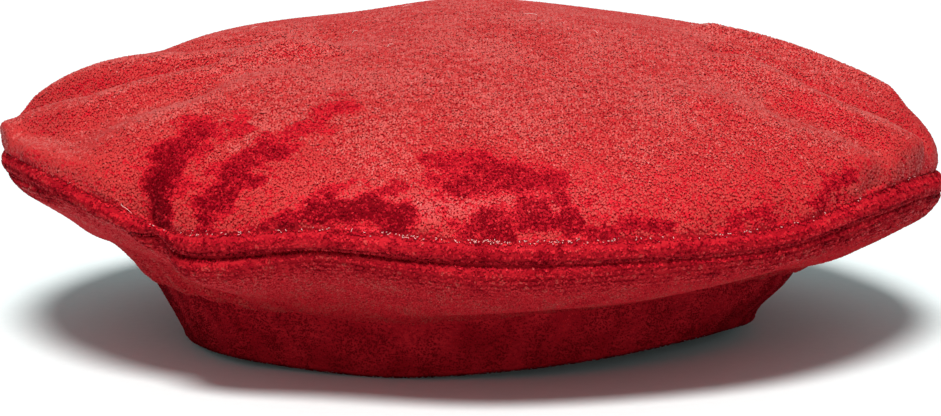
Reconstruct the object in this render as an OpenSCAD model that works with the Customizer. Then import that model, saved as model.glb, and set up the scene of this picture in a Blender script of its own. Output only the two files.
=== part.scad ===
// Lined velvet beret: a full round crown sewn to a turned-in underside,
// which is gathered onto a narrow headband. All sizes are in millimetres.
// The origin is at the middle of the headband's lower edge, +Z is up,
// the front is towards -Y and the wearer's left is towards +X.

/* [Crown] */
// Radius of the crown at its edge seam
rim_r = 140; // [130:1:150]
// Height of the edge seam above the headband's lower edge
rim_z = 50; // [46:1:56]
// Rise of the crown from the edge seam to its top
crown_h = 49; // [40:1:56]
// Fullness of the crown's top: less is more pointed, more is flatter
crown_full = 1.5; // [1.2:0.1:2.4]
// Fullness of the crown's shoulder: less is squarer
crown_shoulder = 0.84; // [0.7:0.02:1.1]

/* [Headband] */
// Outer radius of the headband at its lower edge
band_low_r = 85.5; // [80:0.5:90]
// Outer radius of the headband where the underside joins it
band_top_r = 93.5; // [92:0.5:97]
// Height of the headband
band_h = 20; // [18:1:22]
// Height of the velvet turned up inside the headband
turn_up_h = 9; // [6:1:12]

/* [Cloth] */
// Thickness of the velvet, ground and pile together
velvet_t = 1.8; // [1.4:0.1:2]
// Thickness of the interlining
interlining_t = 0.8; // [0.5:0.1:1]
// Thickness of the satin lining
lining_t = 0.5; // [0.4:0.1:0.6]
// Thickness of the stiffening strip in the headband
stiffener_t = 0.8; // [0.6:0.1:0.9]
// Thickness of the ribbon sweatband
ribbon_t = 0.6; // [0.4:0.1:0.7]
// Gap that the lining leaves inside the crown and the underside
lining_gap = 5; // [4:0.5:6]
// How far the lining's edge seam stands in from the crown's
lining_in = 10; // [8:1:14]

/* [Edge seam] */
// Height of the rolled seam allowance below the edge seam
welt_h = 5.5; // [4.5:0.5:6]
// Radius of the sewing thread
thread_r = 0.3; // [0.2:0.05:0.3]
// Number of thread tacks between the lining and the edge seam
tack_count = 6; // [4:1:12]

/* [Labels] */
// Width of the blank care label
care_w = 26; // [20:1:30]
// Length that the care label hangs down
care_l = 17; // [12:1:18]
// Width of the blank label in the crown
lining_label_w = 46; // [30:1:60]
// Depth of the blank label in the crown
lining_label_d = 20; // [15:1:30]

/* [Hidden] */

$fn = 64;
fit = 0.1;                       // gap between layers that lie face to face
crown_steps = 26;                // stretches along the crown's outline
under_steps = 14;                // stretches along the underside's outline
seam_gap = thread_r + 0.05;      // half the slot that a seam thread lies in

velvet_red = [0.76, 0.09, 0.10];
satin_red = [0.50, 0.05, 0.08];
thread_red = [0.62, 0.06, 0.09];
cloth_white = [0.90, 0.88, 0.84];

// The headband's wall leans out by this much for each millimetre of height.
band_slope = (band_top_r - band_low_r) / band_h;
band_tilt = atan(band_slope);
// Depths of the headband's layers, measured inwards from its outer face
stiffener_in = velvet_t + fit;
turn_up_in = stiffener_in + stiffener_t + fit;
ribbon_in = turn_up_in + 1.5 + fit;
ribbon_face = ribbon_in + ribbon_t;
ribbon_low = 1.6;
ribbon_top = band_h + 4.5;
edge_round = 1.2;

// The underside's outline: its two ends and the point that bends it
under_out = [rim_r - 0.9, rim_z - welt_h - 0.8];
under_bend = [rim_r - 21, rim_z - 19];
under_in = [band_top_r, band_h];

// How far along the underside the lining runs before it meets the ribbon
lining_stop = 0.98;

// The care label hangs from a thread that runs along its top edge.
care_hem_r = 0.8;
care_bore_r = 0.4;
care_thread_r = 0.32;
care_t = 0.5;
care_z = ribbon_top - 2;
care_wall = wall(care_z, ribbon_face)[0];
care_sag = care_wall - sqrt(pow(care_wall, 2) - pow(care_w / 2 + 1, 2));
care_x = care_wall - care_sag - care_hem_r / cos(band_tilt) - 0.4;

// ---- outlines, as points [radius, height] ----

// A point of the crown, at angle a from its top (0) to its edge (90),
// set in by dr at the edge and by dz at the top.
function crown_pt(a, dr, dz) = [
    (rim_r - dr) * pow(sin(a), 2 / crown_full),
    rim_z + (crown_h - dz) * pow(cos(a), crown_shoulder)
];

// A stretch of the crown's outline from the top down to angle last.
function crown_line(dr, dz, last = 90) =
    [for (i = [0:crown_steps]) crown_pt(last * i / crown_steps, dr, dz)];

// A point of the underside, from its outer end (0) to the headband (1).
function under_pt(s) =
    pow(1 - s, 2) * under_out + 2 * s * (1 - s) * under_bend + pow(s, 2) * under_in;

// The unit vector that points from the underside into the hat.
function under_normal(s) =
    let (d = (1 - s) * (under_bend - under_out) + s * (under_in - under_bend))
    [d[1], -d[0]] / norm(d);

// A stretch of the underside's outline, set in by depth.
function under_line(depth, from = 0, to = 1) =
    [for (i = [0:under_steps])
        let (s = from + (to - from) * i / under_steps)
        under_pt(s) + depth * under_normal(s)];

// A point of the headband's wall at height z, set in by depth.
function wall(z, depth) = [band_low_r + band_slope * z - depth, z];

// Points along an arc.
function arc(centre, r, from, to, steps = 8) =
    [for (i = [0:steps])
        let (a = from + (to - from) * i / steps)
        centre + r * [cos(a), sin(a)]];

// The points of a list, with none lower than z.
function above(points, z) = [for (p = points) [p[0], max(p[1], z)]];

// The points of a list in the opposite order.
function back(points) = [for (i = [len(points) - 1:-1:0]) points[i]];

// ---- shared shapes ----

// A ring of cloth between two outlines.
module skin(outer, inner) {
    rotate_extrude($fn = 128)
        polygon(concat(outer, back(inner)));
}

// A ring of thread at a radius and height.
module thread_ring(r, z, thickness = thread_r) {
    rotate_extrude($fn = 128)
        translate([r, z])
            circle(r = thickness, $fn = 24);
}

// A strip of the headband's wall between two heights and two depths.
module wall_strip(low, high, near, far) {
    polygon([wall(low, near), wall(high, near), wall(high, far), wall(low, far)]);
}

// ---- outer cloth ----

// Crown: one round of velvet, eased to a full dome.
module crown_panel() {
    edge = rim_z + seam_gap;
    color(velvet_red)
        skin(above(crown_line(0, 0), edge), above(crown_line(velvet_t, velvet_t), edge));
}

// Underside: a ring of velvet that rolls over the seam allowance at the
// edge, dips where the second seam holds it, and runs in to the headband.
module under_panel() {
    roll_r = 3.1;
    roll = [rim_r - 2.4, rim_z - welt_h / 2];
    open = asin((welt_h / 2 - seam_gap) / roll_r);
    dip = [rim_r - 2.1, rim_z - welt_h];
    color(velvet_red)
        skin(
            concat(arc(roll, roll_r, open, -open),
                   [dip + [0, seam_gap], dip - [0, 2 * seam_gap]], under_line(0)),
            concat([[rim_r - 2.5, rim_z - seam_gap], [rim_r - 2.9, rim_z - welt_h]],
                   under_line(velvet_t, 0.06))
        );
}

// The two panels' seam allowances, turned down inside the edge.
module rim_welt() {
    color(velvet_red)
        rotate_extrude($fn = 128)
            translate([rim_r - 4.4, rim_z - 3.4])
                square([1.4, 4.8]);
}

module rim_seam_thread() {
    color(thread_red) thread_ring(rim_r - 1, rim_z);
}

// The thread of the second seam, sunk in the dip below the rolled edge.
module welt_thread() {
    color(thread_red) thread_ring(rim_r - 1.6, rim_z - welt_h - seam_gap / 2);
}

// ---- interlining ----

module crown_interlining() {
    near = velvet_t + fit;
    far = near + interlining_t;
    color(cloth_white) skin(crown_line(near, near, 84), crown_line(far, far, 84));
}

module under_interlining() {
    near = velvet_t + fit;
    color(cloth_white)
        skin(under_line(near, 0.12, 0.97), under_line(near + interlining_t, 0.12, 0.97));
}

// ---- lining ----

module crown_lining() {
    edge = rim_z + seam_gap;
    color(satin_red)
        skin(
            above(crown_line(lining_in, lining_gap), edge),
            above(crown_line(lining_in + lining_t, lining_gap + lining_t), edge)
        );
}

module under_lining() {
    edge = rim_z - seam_gap;
    start = 0.22;
    color(satin_red)
        skin(
            concat([[rim_r - lining_in, edge]], under_line(lining_gap, start, lining_stop)),
            concat([[rim_r - lining_in - lining_t, edge]],
                   under_line(lining_gap + lining_t, start, lining_stop))
        );
}

module lining_rim_thread() {
    color(thread_red) thread_ring(rim_r - lining_in - lining_t / 2, rim_z);
}

// Thread tacks that hold the lining's edge to the crown's seam allowance.
module lining_tacks() {
    from_r = rim_r - lining_in + 0.1;
    to_r = rim_r - 4.45;
    color(thread_red)
        for (i = [0:tack_count - 1])
            rotate([0, 0, 360 * (i + 0.5) / tack_count])
                translate([from_r, 0, rim_z])
                    rotate([0, 90, 0])
                        cylinder(r = thread_r, h = to_r - from_r, $fn = 24);
}

// Blank woven label under the middle of the crown.
module lining_label() {
    near = lining_gap + lining_t + fit;
    color(cloth_white)
        intersection() {
            skin(crown_line(lining_in + near, near), crown_line(lining_in + near + 0.5, near + 0.5));
            translate([-lining_label_w / 2, -lining_label_d / 2, rim_z])
                cube([lining_label_w, lining_label_d, crown_h]);
        }
}

// ---- headband ----

// Velvet strip folded over the stiffening at the lower edge.
module headband() {
    inner = turn_up_in + 1.5;
    color(velvet_red)
        rotate_extrude($fn = 128)
            polygon(concat(
                [wall(band_h - fit, 0), wall(band_h - fit, velvet_t)],
                [wall(velvet_t, velvet_t), wall(velvet_t, turn_up_in)],
                [wall(turn_up_h, turn_up_in), wall(turn_up_h, inner)],
                arc(wall(edge_round, inner - edge_round), edge_round, 180, 270, 5),
                arc(wall(edge_round, edge_round), edge_round, 270, 360, 5)
            ));
}

module headband_stiffener() {
    color(cloth_white)
        rotate_extrude($fn = 128)
            wall_strip(velvet_t + 0.2, band_h - 0.6, stiffener_in, stiffener_in + stiffener_t);
}

module headband_seam_thread() {
    color(thread_red) thread_ring(band_top_r - 1.3, band_h + 0.5);
}

// Hand stitches that close the headband's join at the back.
module headband_join_thread() {
    stitch_h = 2.4;
    count = 5;
    pitch = (band_h - 3) / count;
    color(thread_red)
        for (i = [0:count - 1])
            let (foot = wall(2 + pitch * i, -thread_r - 0.02))
            translate([0, foot[0], foot[1]])
                rotate([-band_tilt, 0, 0])
                    cylinder(r = thread_r, h = stitch_h, $fn = 24);
}

module sweatband() {
    color(satin_red)
        rotate_extrude($fn = 128)
            wall_strip(ribbon_low, ribbon_top, ribbon_in, ribbon_face);
}

// Where the ribbon's ends lap at the back.
module sweatband_overlap() {
    span = 9;
    color(satin_red)
        rotate([0, 0, 90 - span / 2])
            rotate_extrude(angle = span, $fn = 128)
                wall_strip(ribbon_low + 0.2, ribbon_top - 0.2,
                           ribbon_face + 0.02, ribbon_face + ribbon_t);
}

module sweatband_thread() {
    seat = wall(ribbon_low - thread_r - 0.1, ribbon_in + 0.4);
    color(thread_red) thread_ring(seat[0], seat[1]);
}

// The thread that joins the ribbon's upper edge to the lining.
module lining_seam_thread() {
    lining_end = under_pt(lining_stop) + lining_gap * under_normal(lining_stop);
    ribbon_end = wall(ribbon_top, ribbon_in);
    color(thread_red)
        thread_ring((lining_end[0] + ribbon_end[0]) / 2, ribbon_top + thread_r);
}

// ---- care label ----

// Blank tape label with a hem along its top edge for the thread.
module care_label() {
    color(cloth_white)
        translate([care_x, 0, care_z])
            rotate([0, band_tilt, 0])
                difference() {
                    union() {
                        rotate([90, 0, 0])
                            cylinder(r = care_hem_r, h = care_w, center = true, $fn = 32);
                        translate([-care_t / 2, -care_w / 2, -care_l])
                            cube([care_t, care_w, care_l]);
                    }
                    rotate([90, 0, 0])
                        cylinder(r = care_bore_r, h = care_w + 2, center = true, $fn = 32);
                }
}

// The thread through the care label's hem, with both ends sewn into the ribbon.
module care_label_thread() {
    reach = care_w / 2 + 1;
    leg = sqrt(pow(care_wall, 2) - pow(reach, 2)) - care_x - 0.05;
    color(thread_red)
        translate([care_x, 0, care_z]) {
            rotate([90, 0, 0])
                cylinder(r = care_thread_r, h = 2 * reach, center = true, $fn = 24);
            for (side = [-1, 1])
                translate([0, side * (reach - care_thread_r), 0])
                    rotate([0, 90, 0])
                        cylinder(r = care_thread_r, h = leg, $fn = 24);
        }
}

crown_panel();
under_panel();
rim_welt();
rim_seam_thread();
welt_thread();
crown_interlining();
under_interlining();
crown_lining();
under_lining();
lining_rim_thread();
lining_tacks();
lining_label();
headband();
headband_stiffener();
headband_seam_thread();
headband_join_thread();
sweatband();
sweatband_thread();
sweatband_overlap();
lining_seam_thread();
care_label();
care_label_thread();
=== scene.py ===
"""A velvet beret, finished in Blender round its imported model: cloth layers, pile, seams and labels."""

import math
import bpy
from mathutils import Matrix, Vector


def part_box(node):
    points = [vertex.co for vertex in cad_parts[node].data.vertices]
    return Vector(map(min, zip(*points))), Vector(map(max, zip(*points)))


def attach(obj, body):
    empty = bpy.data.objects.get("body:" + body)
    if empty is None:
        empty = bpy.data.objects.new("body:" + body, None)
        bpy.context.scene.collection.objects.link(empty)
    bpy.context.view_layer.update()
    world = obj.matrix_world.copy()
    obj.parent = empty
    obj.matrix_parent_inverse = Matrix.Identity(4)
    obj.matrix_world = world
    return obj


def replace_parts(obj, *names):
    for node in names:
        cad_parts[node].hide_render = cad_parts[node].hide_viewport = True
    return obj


bl_info = {
    "name": "Velvet Beret",
    "version": (1, 0, 0),
    "blender": (4, 5, 0),
    "location": "3D View > Sidebar > Beret",
    "description": "Builds a lined velvet beret with real pile round its packed model",
    "category": "Object",
}

import bpy
import numpy as np
from bpy.props import FloatProperty, IntProperty, PointerProperty, StringProperty
from mathutils import Vector

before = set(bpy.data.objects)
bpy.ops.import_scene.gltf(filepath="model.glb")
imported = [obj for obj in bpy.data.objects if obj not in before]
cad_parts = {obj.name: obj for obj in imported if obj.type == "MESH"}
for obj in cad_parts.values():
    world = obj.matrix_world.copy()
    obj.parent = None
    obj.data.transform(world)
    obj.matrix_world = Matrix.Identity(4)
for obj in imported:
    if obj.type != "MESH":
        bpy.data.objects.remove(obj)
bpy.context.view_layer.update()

MM = 0.001
HAT = "hat"
HUB = 0.15  # radius in mm of the small hole at the middle of a round sheet's grid
RIB = 0.14  # half the height of the ribbon's cross ribs, in mm
ROOTED = 0.1  # how far the pile's roots stand in the ground, in mm
LOCKS_PER_PIECE = 49000  # so that each piece of pile exports with all its faces

# Driving dimensions in millimetres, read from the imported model.
CROWN_BOX = [[c / MM for c in corner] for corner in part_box("crown_panel")]
BAND_BOX = [[c / MM for c in corner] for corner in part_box("headband")]
RIBBON_BOX = [[c / MM for c in corner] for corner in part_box("sweatband")]
RIM_R = CROWN_BOX[1][0]
EDGE_Z = CROWN_BOX[0][2]
TOP_Z = CROWN_BOX[1][2]
BAND_TOP_R = BAND_BOX[1][0]
BAND_H = BAND_BOX[1][2]
RIBBON_TOP = RIBBON_BOX[1][2]
RIBBON_LOW = RIBBON_BOX[0][2]


# ---- settings -------------------------------------------------------------


class BeretShape(bpy.types.PropertyGroup):
    """Sizes of the beret's cloth, in millimetres."""

    band_taper: FloatProperty(
        name="Band taper", description="How far the headband draws in at its lower edge, in mm", default=9.5
    )
    band_oval: FloatProperty(
        name="Band oval", description="How much the headband is flattened from front to back", default=0.13
    )
    band_turn: FloatProperty(
        name="Band turn", description="Turn of the oval headband about the vertical",
        default=math.radians(16), unit="ROTATION",
    )
    crown_full: FloatProperty(
        name="Crown fullness", description="How flat the top of the crown is", default=1.5
    )
    crown_shoulder: FloatProperty(
        name="Crown shoulder", description="How square the crown's shoulder is", default=0.84
    )
    pile_room: FloatProperty(
        name="Ground depth", description="How far the ground cloth lies under the beret's form, in mm",
        default=0.1,
    )
    velvet: FloatProperty(
        name="Velvet ground", description="Thickness of the velvet's ground cloth, in mm",
        default=0.6,
    )
    canvas: FloatProperty(
        name="Interlining", description="Thickness of interlining and stiffening, in mm",
        default=0.7,
    )
    lining: FloatProperty(name="Lining", description="Thickness of the satin lining, in mm", default=0.4)
    lining_gap: FloatProperty(
        name="Lining gap", description="How far the lining hangs inside, in mm",
        default=6.0,
    )
    lining_in: FloatProperty(
        name="Lining edge", description="How far the lining's edge stands in, in mm",
        default=10.0,
    )
    ribbon: FloatProperty(name="Ribbon", description="Thickness of the sweatband ribbon, in mm", default=0.6)
    ribbon_depth: FloatProperty(
        name="Ribbon depth", description="How far the ribbon lies inside the wall, in mm",
        default=4.4,
    )


class BeretCloth(bpy.types.PropertyGroup):
    """Pile, thread and colours."""

    pile_length: FloatProperty(
        name="Pile length", description="Length of the velvet's pile, in mm",
        default=0.7,
    )
    tuft_pitch: FloatProperty(
        name="Tuft pitch", description="Spacing of the pile's tufts in the ground, in mm",
        default=0.8,
    )
    tuft_locks: IntProperty(name="Locks", description="Locks of fibre in each tuft", default=3)
    # The five pile reds are one viscose in painted light and shade: deep and dark are painted shade, as pile
    # seen end on, and light and the lightest are painted highlight and sheen.
    red_deep: StringProperty(name="Deep red", description="Pile seen end on, sRGB hex", default="70000C")
    red_dark: StringProperty(name="Dark red", description="Pile half turned, sRGB hex", default="9E081A")
    red_mid: StringProperty(name="Red", description="Pile seen from its side, sRGB hex", default="BF1623")
    red_light: StringProperty(
        name="Light red", description="Pile lit along its side, sRGB hex",
        default="B82D2C",
    )
    # This lightest red is painted sheen, where light grazes the pile, and not wear.
    red_painted_sheen: StringProperty(name="Painted sheen red", description="Worn, lustrous pile, sRGB hex", default="C34A45")
    ground_red: StringProperty(
        name="Ground red", description="Velvet's ground cloth, sRGB hex",
        default="B01A24",
    )
    satin_red: StringProperty(name="Satin red", description="Lining, sRGB hex", default="6E0A16")
    ribbon_red: StringProperty(name="Ribbon red", description="Sweatband, sRGB hex", default="640810")
    thread_red: StringProperty(name="Thread red", description="Sewing thread, sRGB hex", default="8C0A14")
    # The glint colour is painted highlight on the bare ground threads at the edge seam, pale where they
    # catch the light.
    painted_glint_tone: StringProperty(
        name="Painted glint", description="Bare ground threads at the edge seam, sRGB hex",
        default="E9A9A4",
    )
    label_white: StringProperty(name="Label white", description="Label tape, sRGB hex", default="EDE8DF")
    canvas: StringProperty(
        name="Canvas", description="Interlining and stiffening, sRGB hex",
        default="D8D0BE",
    )
    floor: StringProperty(name="Floor", description="Studio floor, sRGB hex", default="E0E6E5")


def shape():
    return bpy.context.scene.beret_shape


def cloth():
    return bpy.context.scene.beret_cloth


# ---- small maths ----------------------------------------------------------


def smooth(low, high, x):
    """0 below low, 1 above high, and a smooth step between them."""
    t = np.clip((x - low) / (high - low), 0, 1)
    return t * t * (3 - 2 * t)


def ripples(p, size, seed, waves=14):
    """A smooth random field of about unit size over the points p, with hills about size mm across."""
    rng = np.random.default_rng(seed)
    total = np.zeros(len(p))
    for _ in range(waves):
        way = rng.normal(size=p.shape[1])
        way *= 2 * math.pi / (size * 2 * rng.uniform(0.75, 1.5)) / np.linalg.norm(way)
        total += np.cos(p @ way + rng.uniform(0, 2 * math.pi))
    return total / math.sqrt(waves / 2)


def round_the_edge(pairs, theta, soft=4.0):
    """A value that follows (degrees, value) pairs round the beret, rounded over soft degrees."""
    grid = np.arange(-180, 180, 0.5)
    at, value = np.array(pairs, float).T
    line = np.interp(grid, at, value, period=360)
    bell = np.exp(-0.5 * (np.minimum(grid + 180, 180 - grid) / soft) ** 2)
    bell /= bell.sum()
    line = np.real(np.fft.ifft(np.fft.fft(line) * np.fft.fft(bell)))
    return np.interp(np.degrees(theta), grid, line, period=360)


def along(points):
    """Distances along a line of (radius, height) points."""
    return np.concatenate([[0], np.cumsum(np.hypot(*np.diff(points, axis=0).T))])


def unit(v):
    return v / np.maximum(np.linalg.norm(v, axis=-1, keepdims=True), 1e-12)


def near_line(p, line):
    """Signed distance of the plan points p from a line of points: positive on its left."""
    best = np.full(len(p), 1e9)
    side = np.zeros(len(p))
    for a, b in zip(line[:-1], line[1:]):
        a, b = np.array(a, float), np.array(b, float)
        way = (b - a) / np.linalg.norm(b - a)
        t = np.clip((p - a) @ way, 0, np.linalg.norm(b - a))
        off = p - (a + t[:, None] * way)
        d = np.linalg.norm(off, axis=1)
        closer = d < best
        best = np.where(closer, d, best)
        side = np.where(closer, np.sign(way[0] * off[:, 1] - way[1] * off[:, 0]), side)
    return best * np.where(side == 0, 1, side)


# ---- the beret's form -----------------------------------------------------

# How far the crown's edge rises or sags: (degrees round the edge, mm).
# 0 is the wearer's left (+X), -90 the front.
EDGE_RISE = (
    (-170, 8.5), (-156, 10.2), (-146, 8.8), (-137, 5.4), (-129, -1.2), (-121, -0.5), (-107, 4.0),
    (-98, 2.5), (-88, 0.8), (-73, 0.5), (-58, 0.0), (-50, 0.5), (-44, 3.0), (-37, 5.0), (-24, 6.0),
    (-8, 2.0), (8, -1.0), (30, -1.0), (60, 1.0), (90, 2.5), (120, 2.0), (150, 2.2),
    (172, 5.4),
)

# How far the edge stands out or in: (degrees, mm).
EDGE_OUT = (
    (-172, -1.8), (-150, -1.2), (-140, -0.5), (-131, -3.5), (-122, 0.0), (-90, 0.5), (-50, 0.0), (-20, -2.5),
    (0, -1.5), (40, 0.0), (90, 0.0), (130, -1.0), (165, -1.2),
)

# How far the underside sags below its seam, or is drawn up: (degrees, mm).
UNDER_SAG = (
    (-175, -0.5), (-160, -2.2), (-147, -4.6), (-138, -6.0), (-132, -3.5), (-126, 0.0), (-100, 0.3),
    (-60, 0.5), (-42, 1.4), (-28, 2.0), (-12, 2.6), (5, 2.0), (40, 0.5), (90, 0.0), (150, 0.0),
)

# How far the underside is drawn up just outside the headband: (degrees, mm).
UNDER_TUCK = (
    (-175, 5.2), (-160, 5.0), (-148, 3.4), (-136, 1.2), (-125, 0.0), (-60, 0.0), (-40, 1.2), (-25, 2.8),
    (-12, 2.2), (5, 1.5), (60, 1.0), (120, 1.5), (160, 4.0),
)

# How deep the groove under the rolled edge is, and how much its pile darkens as painted shade: (degrees,
# share).
GROOVE = (
    (-175, 0.15), (-150, 0.2), (-139, 0.45), (-131, 1.0), (-98, 1.0), (-82, 0.65), (-62, 0.35), (-30, 0.25),
    (0, 0.2), (90, 0.45), (150, 0.25),
)

# How far the headband's lower edge is lifted off the floor, and its upper edge raised: (degrees, mm).
BAND_LOW_LIFT = (
    (-170, 1.0), (-157, 1.8), (-144, 2.2), (-120, 1.0), (-103, 0.0), (-90, 1.2), (-70, 3.0), (-56, 4.3),
    (-42, 5.4), (-23, 5.2), (-4, 4.2), (16, 2.0), (40, 0.0), (100, 0.0), (150, 0.3),
)
BAND_TOP_LIFT = (
    (-175, -1.5), (-149, 1.2), (-137, 0.0), (-127, -1.2), (-109, -1.6), (-100, -2.6), (-90, -1.4),
    (-73, 0.0), (-60, 1.2), (-45, 3.2), (-33, 2.6), (-23, 2.0), (0, 0.2), (30, 0.0), (120, 0.5),
)

# Folds of the crown, in plan: points, height (mm, negative for a valley) and half-width (mm).
FOLDS = (
    (((30, -60), (24, 0), (26, 70)), 0.4, 24),
    (((-32, -20), (-30, 70)), -1.8, 22),
    (((-100, 10), (-88, 50)), -2.8, 17),
    (((68, 30), (82, 50)), -1.6, 14),
    (((-126, -4), (-100, -22), (-84, -35), (-52, -47)), 3.2, 8),
    (((-136, -22), (-112, -50), (-83, -54), (-44, -52)), 3.2, 8),
    (((-126, 12), (-90, -8), (-50, -32)), -3.0, 10),
    (((-132, -12), (-106, -36), (-74, -46)), -3.2, 6),
    (((-96, -82), (-76, -84), (-56, -76)), 2.2, 10),
    (((-124, 44), (-129, 4), (-124, -30)), -0.8, 12),
    (((-130, -42), (-104, -68), (-78, -70)), -2.6, 8),
    (((72, 0), (88, -7), (103, -13), (120, -13)), 3.4, 7),
    (((78, -48), (93, -60), (108, -64), (128, -52)), 3.6, 8),
    (((76, -28), (98, -40), (118, -40), (133, -32)), -4.4, 8),
    (((66, 16), (92, 10), (120, 12)), -3.2, 9),
    (((66, -84), (88, -90), (110, -82)), 2.4, 9),
    (((88, -76), (110, -73)), -2.2, 6),
    (((-16, 70), (6, 98), (12, 126)), 1.6, 14),
    (((26, 72), (46, 96), (56, 120)), -1.8, 13),
    (((-62, 78), (-84, 96), (-92, 104)), 1.8, 13),
    (((-44, 88), (-58, 112), (-62, 124)), -1.6, 12),
    (((84, 58), (104, 72), (114, 78)), 1.8, 12),
)

# Strokes of pile brushed another way across the crown: the locks lean more there and take darker reds, which
# is painted shade, as pile seen end on:
# points (degrees round, mm in from the edge), half-width in mm, depth of tone.
STROKES = (
    (((-128, 2), (-128, 9)), 5.0, 1.0),
    (((-128.5, 9), (-128.5, 19), (-127, 29)), 8.0, 1.0),
    (((-126, 30), (-122, 36)), 4.5, 0.7),
    (((-121, 3), (-120, 10)), 4.0, 0.8),
    (((-119.5, 10), (-118, 18), (-115.5, 27)), 6.0, 0.9),
    (((-115, 28), (-111.5, 40), (-109.5, 50)), 5.0, 0.6),
    (((-107, 6), (-102.5, 7.5), (-98, 6)), 5.5, 1.0),
    (((-101, 12), (-99, 14)), 3.0, 0.8),
    (((-94, 24), (-89, 26)), 5.0, 0.7),
    (((-92, 18), (-86, 20), (-81.5, 17)), 6.0, 0.85),
    (((-84, 11), (-80.5, 12)), 3.5, 0.8),
    (((-89.5, 4), (-85, 5), (-79, 5.5)), 4.0, 0.85),
    (((-77, 2.5), (-69, 2)), 2.2, 0.6),
    (((-113, 2), (-108, 2.5)), 2.0, 0.7),
    (((-60, 3), (-52, 2.5)), 2.0, 0.5),
    (((-47, 5), (-41, 8)), 3.0, 0.55),
    (((66, 11), (74, 14), (82, 11)), 5.0, 0.4),
    (((118, 10), (128, 13)), 5.0, 0.45),
)

# Where bare ground threads show at the edge seam, drawn pale as painted glints: (degrees, half-width in
# degrees, loops).
GLINTS = (
    (-144, 1.5, 2), (-128, 2.0, 4), (-122, 2.5, 9), (-113, 7, 20), (-101, 5, 18), (-92, 6, 44), (-84, 6, 40),
    (-76, 5, 22), (-66, 6, 14), (-55, 5, 12), (-46, 2, 4), (-40, 1.5, 3), (-25, 3, 3), (60, 30, 12),
    (150, 25, 12),
)


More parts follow.
